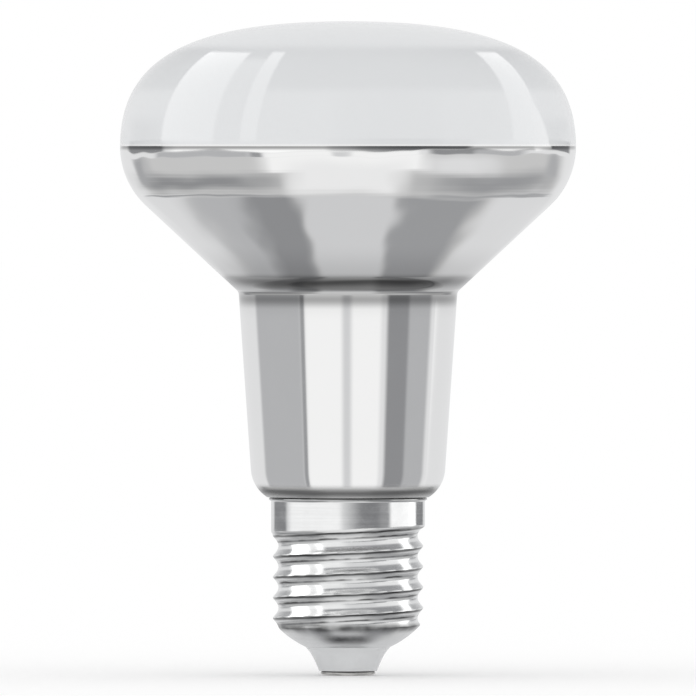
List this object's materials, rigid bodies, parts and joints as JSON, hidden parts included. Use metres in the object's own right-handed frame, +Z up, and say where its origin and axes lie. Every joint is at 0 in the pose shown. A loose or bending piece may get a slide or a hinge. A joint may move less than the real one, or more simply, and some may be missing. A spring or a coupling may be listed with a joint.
{
  "type": "reflector bulb",
  "caption": "Reflector bulb with a low frosted dome, a mirrored cone and tapered neck, and a plated E27 screw cap with an insulated centre contact.",
  "frame": {"origin": "middle of the flat underside of the centre contact, on the lamp's axis", "axes": "+Z up the lamp's axis from the contact to the frosted front; -Y is the side that the picture shows"},
  "size_m": [0.08, 0.08, 0.1148],
  "materials": {
    "glass": "frosted front, mirror coat inside the cone and neck",
    "nickel": "bright nickel plate on pressed sheet",
    "insulator": "glossy off-white",
    "contact": "tinned, lightly scuffed"
  },
  "bodies": {
    "root": {"glass_bulb": "glass", "screw_shell": "nickel", "insulator": "insulator", "centre_contact": "contact"}
  },
  "joints": []
}
